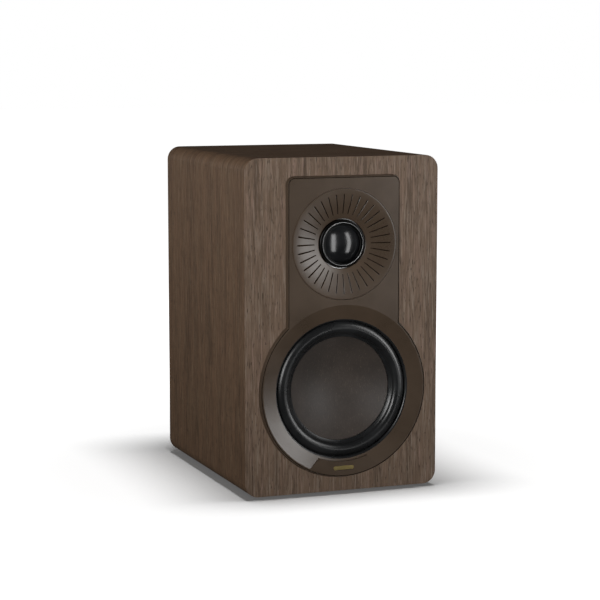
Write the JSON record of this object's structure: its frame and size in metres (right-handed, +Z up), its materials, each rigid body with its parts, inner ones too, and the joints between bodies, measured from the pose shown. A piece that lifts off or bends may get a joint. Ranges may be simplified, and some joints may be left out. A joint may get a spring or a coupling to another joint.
{
  "type": "bookshelf speaker",
  "caption": "Compact bookshelf loudspeaker in dark walnut veneer with a raised brown baffle trim, ribbed dome-tweeter waveguide, concave woofer and rear reflex port.",
  "frame": {"origin": "on the ground under the middle of the whole object", "axes": "+Z up, -Y out of the baffle, +Y out of the rear panel, +X to the right seen from in front"},
  "size_m": [0.15, 0.197, 0.247],
  "materials": {
    "walnut_veneer": "satin wood-grain veneer, grain running up the front and sides",
    "fibreboard": "raw medium-density fibreboard",
    "brown_moulding": "satin brown moulded plastic",
    "gold_plaque": "satin gold-coloured metal",
    "black_plastic": "fine-textured black plastic",
    "red_plastic": "red plastic",
    "black_rubber": "satin black rubber",
    "fibre_cone": "dark felted fibre",
    "spider_cloth": "resin-dipped woven cotton",
    "silk_dome": "black coated silk, glossy",
    "coated_steel": "black-painted steel",
    "ferrite": "bare dark grey ferrite",
    "copper": "enamelled copper wire",
    "polyimide": "amber film",
    "gold_metal": "gold-plated brass",
    "circuit_board": "green laminate",
    "capacitor_film": "yellow film wrap",
    "ceramic": "white cement",
    "wire_sleeve": "red PVC sleeve",
    "polyester_wadding": "white polyester wadding"
  },
  "bodies": {
    "cabinet": {"front_veneer": "walnut_veneer", "veneer_wrap": "walnut_veneer", "front_baffle": "fibreboard", "left_panel": "fibreboard", "right_panel": "fibreboard", "top_panel": "fibreboard", "bottom_panel": "fibreboard", "rear_panel": "fibreboard", "baffle_trim": "brown_moulding", "tweeter_faceplate": "brown_moulding", "plaque": "gold_plaque", "port_tube": "black_plastic", "terminal_cup": "black_plastic", "foot_front_left": "black_rubber", "foot_front_right": "black_rubber", "foot_rear_left": "black_rubber", "foot_rear_right": "black_rubber", "woofer_surround": "black_rubber", "woofer_gasket": "black_rubber", "woofer_spider": "spider_cloth", "tweeter_surround": "silk_dome", "woofer_basket": "coated_steel", "woofer_top_plate": "coated_steel", "woofer_yoke": "coated_steel", "tweeter_top_plate": "coated_steel", "tweeter_yoke": "coated_steel", "woofer_screw_1": "coated_steel", "woofer_screw_2": "coated_steel", "woofer_screw_3": "coated_steel", "woofer_screw_4": "coated_steel", "tweeter_screw_1": "coated_steel", "tweeter_screw_2": "coated_steel", "tweeter_screw_3": "coated_steel", "tweeter_screw_4": "coated_steel", "terminal_screw_1": "coated_steel", "terminal_screw_2": "coated_steel", "terminal_screw_3": "coated_steel", "terminal_screw_4": "coated_steel", "woofer_magnet": "ferrite", "tweeter_magnet": "ferrite", "woofer_inductor": "copper", "tweeter_inductor": "copper", "black_post": "gold_metal", "red_post": "gold_metal", "crossover_board": "circuit_board", "woofer_capacitor": "capacitor_film", "tweeter_capacitor": "capacitor_film", "crossover_resistor": "ceramic", "woofer_cable": "wire_sleeve", "tweeter_cable": "wire_sleeve", "damping_wadding": "polyester_wadding"},
    "woofer_cone_body": {"woofer_cone": "fibre_cone", "woofer_coil_former": "polyimide", "woofer_voice_coil": "copper"},
    "tweeter_dome_body": {"tweeter_dome": "silk_dome", "tweeter_voice_coil": "copper"},
    "black_washer_body": {"black_post_washer": "gold_metal"},
    "black_knob_body": {"black_post_knob": "black_plastic"},
    "red_washer_body": {"red_post_washer": "gold_metal"},
    "red_knob_body": {"red_post_knob": "red_plastic"}
  },
  "joints": [
    {"name": "woofer_travel", "type": "slide", "parent": "cabinet", "child": "woofer_cone_body", "axis": [0, -1, 0], "range_m": [-0.0035, 0.0035], "stiffness_N_per_m": 1100, "deforming": ["woofer_surround", "woofer_spider"]},
    {"name": "tweeter_travel", "type": "slide", "parent": "cabinet", "child": "tweeter_dome_body", "axis": [0, -1, 0], "range_m": [-0.0004, 0.0004], "stiffness_N_per_m": 60, "deforming": ["tweeter_surround"]},
    {"name": "black_post_turn", "type": "hinge", "parent": "black_washer_body", "child": "black_knob_body", "pos_m": [-0.0095, 0.0925, 0.064], "axis": [0, 1, 0], "range_deg": [0, 1800.1]},
    {"name": "black_post_lift", "type": "slide", "parent": "cabinet", "child": "black_washer_body", "axis": [0, 1, 0], "range_m": [0, 0.005]},
    {"name": "red_post_turn", "type": "hinge", "parent": "red_washer_body", "child": "red_knob_body", "pos_m": [0.0095, 0.0925, 0.064], "axis": [0, 1, 0], "range_deg": [0, 1800.1]},
    {"name": "red_post_lift", "type": "slide", "parent": "cabinet", "child": "red_washer_body", "axis": [0, 1, 0], "range_m": [0, 0.005]}
  ],
  "couplings": [
    {"joint": "black_post_turn", "follows": "black_post_lift", "rad_per_m": 6283.2},
    {"joint": "red_post_turn", "follows": "red_post_lift", "rad_per_m": 6283.2}
  ]
}
